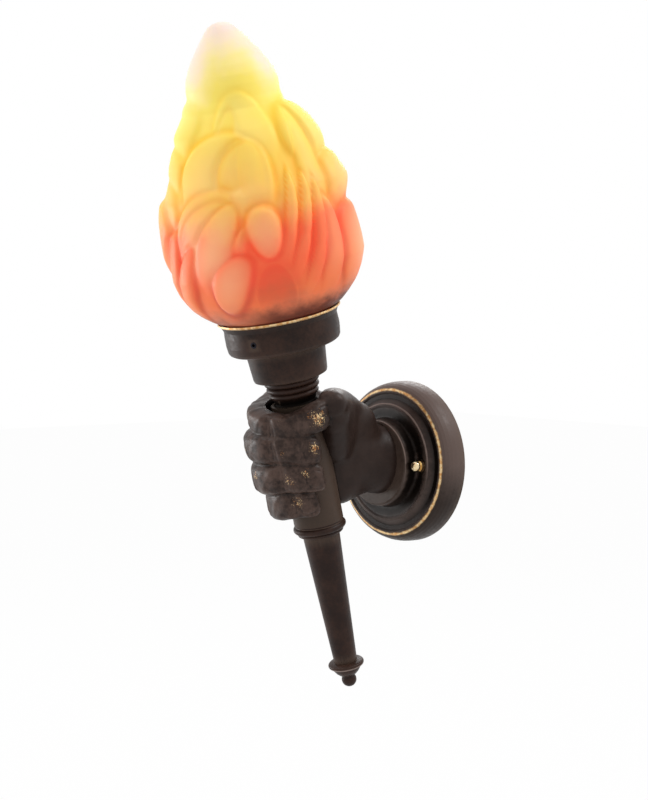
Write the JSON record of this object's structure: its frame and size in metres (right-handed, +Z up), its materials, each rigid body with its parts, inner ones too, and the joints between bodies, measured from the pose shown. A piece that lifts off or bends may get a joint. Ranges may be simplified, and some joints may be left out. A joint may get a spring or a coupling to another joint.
{
  "type": "torch sconce",
  "caption": "Wall sconce: a bronzed fist on a round wall plate grips a leaning torch with a screw-in lamp under a flame-shaped satin glass shade.",
  "frame": {"origin": "middle of the mounting bar's back face, on the wall, on the wall plate's axis", "axes": "+Z up, +X to the right when facing the wall, +Y into the wall; the sconce stands out towards -Y"},
  "size_m": [0.1219, 0.1956, 0.4298],
  "materials": {
    "bronzed_resin": "antique bronze lacquer, satin, rubbed gold on raised edges",
    "bronzed_metal": "antique bronze lacquer on spun steel, satin, gold lip",
    "zinc_steel": "zinc plated",
    "brass": "polished",
    "dark_washer": "blackened",
    "white_nylon": "moulded, matte",
    "porcelain": "glazed, glossy",
    "black_wire": "smooth insulation",
    "white_wire": "smooth insulation",
    "green_wire": "smooth insulation",
    "green_screw": "green passivated",
    "black_rubber": "moulded, matte",
    "black_bakelite": "moulded, satin",
    "felt": "pressed felt",
    "dark_screw": "blackened, satin",
    "tin": "tinned, dull",
    "nickel": "nickel plated",
    "clear_glass": "clear, smooth",
    "filament": "yellow coated strips on a glass stem",
    "flame_glass": "satin frosted glass, coral red at the foot through orange and yellow to white at the tip"
  },
  "bodies": {
    "sconce": {"wall_plate": "bronzed_resin", "mounting_bar": "zinc_steel", "mounting_studs": "zinc_steel", "stud_nuts": "zinc_steel", "plate_washers": "dark_washer", "cap_nuts": "brass", "ground_screw": "green_screw", "terminal_block": "white_nylon", "block_screw": "zinc_steel", "terminal_clamps": "brass", "line_lead": "black_wire", "neutral_lead": "white_wire", "ground_lead": "green_wire", "wire_grommet": "black_rubber", "wrist_screws": "zinc_steel", "hand": "bronzed_resin", "grip_tube": "bronzed_resin", "collar_ring": "bronzed_resin", "handle_shaft": "bronzed_resin", "finial": "bronzed_resin", "tie_rod": "zinc_steel", "rod_washer": "zinc_steel", "rod_nut": "zinc_steel", "torch_neck": "bronzed_resin", "lamp_pipe": "brass", "pipe_washer": "zinc_steel", "pipe_nut": "brass", "socket_cup": "bronzed_metal", "gallery": "bronzed_metal", "shade_seal": "felt", "holder_cap": "black_bakelite", "holder_core": "porcelain", "holder_skirt": "black_bakelite", "holder_terminals": "brass", "screw_shell": "brass", "centre_contact": "brass", "shade_ring": "black_bakelite"},
    "shade": {"flame_shade": "flame_glass"},
    "lamp_foot": {"lamp_contact": "tin"},
    "lamp": {"lamp_cap": "nickel", "lamp_globe": "clear_glass", "lamp_filament": "filament"},
    "screw_foot_1": {"screw_tip_1": "white_nylon"},
    "screw_1": {"set_screw_1": "dark_screw"},
    "screw_foot_2": {"screw_tip_2": "white_nylon"},
    "screw_2": {"set_screw_2": "dark_screw"},
    "screw_foot_3": {"screw_tip_3": "white_nylon"},
    "screw_3": {"set_screw_3": "dark_screw"}
  },
  "joints": [
    {"name": "shade_lift", "type": "slide", "parent": "sconce", "child": "shade", "axis": [0, -0.2554, 0.9668], "range_m": [0, 0.09]},
    {"name": "lamp_rise", "type": "slide", "parent": "sconce", "child": "lamp_foot", "axis": [0, -0.2554, 0.9668], "range_m": [0, 0.0237]},
    {"name": "lamp_turn", "type": "hinge", "parent": "lamp_foot", "child": "lamp", "pos_m": [0, -0.11362, 0.08941], "axis": [0, -0.2554, 0.9668], "range_deg": [0, 2340]},
    {"name": "set_screw_travel_1", "type": "slide", "parent": "sconce", "child": "screw_foot_1", "axis": [0.342, -0.9085, -0.24], "range_m": [0, 0.0049]},
    {"name": "set_screw_turn_1", "type": "hinge", "parent": "screw_foot_1", "child": "screw_1", "pos_m": [0, -0.11362, 0.08941], "axis": [0.342, -0.9085, -0.24], "range_deg": [0, 2520]},
    {"name": "set_screw_travel_2", "type": "slide", "parent": "sconce", "child": "screw_foot_2", "axis": [0.6428, 0.7406, 0.1957], "range_m": [0, 0.0049]},
    {"name": "set_screw_turn_2", "type": "hinge", "parent": "screw_foot_2", "child": "screw_2", "pos_m": [0, -0.11362, 0.08941], "axis": [0.6428, 0.7406, 0.1957], "range_deg": [0, 2520]},
    {"name": "set_screw_travel_3", "type": "slide", "parent": "sconce", "child": "screw_foot_3", "axis": [-0.9848, 0.1679, 0.0444], "range_m": [0, 0.0049]},
    {"name": "set_screw_turn_3", "type": "hinge", "parent": "screw_foot_3", "child": "screw_3", "pos_m": [0, -0.11362, 0.08941], "axis": [-0.9848, 0.1679, 0.0444], "range_deg": [0, 2520]}
  ],
  "couplings": [
    {"joint": "lamp_rise", "follows": "lamp_turn", "m_per_rad": 0.00057757},
    {"joint": "set_screw_turn_1", "follows": "set_screw_travel_1", "rad_per_m": 8976},
    {"joint": "set_screw_turn_2", "follows": "set_screw_travel_2", "rad_per_m": 8976},
    {"joint": "set_screw_turn_3", "follows": "set_screw_travel_3", "rad_per_m": 8976}
  ]
}
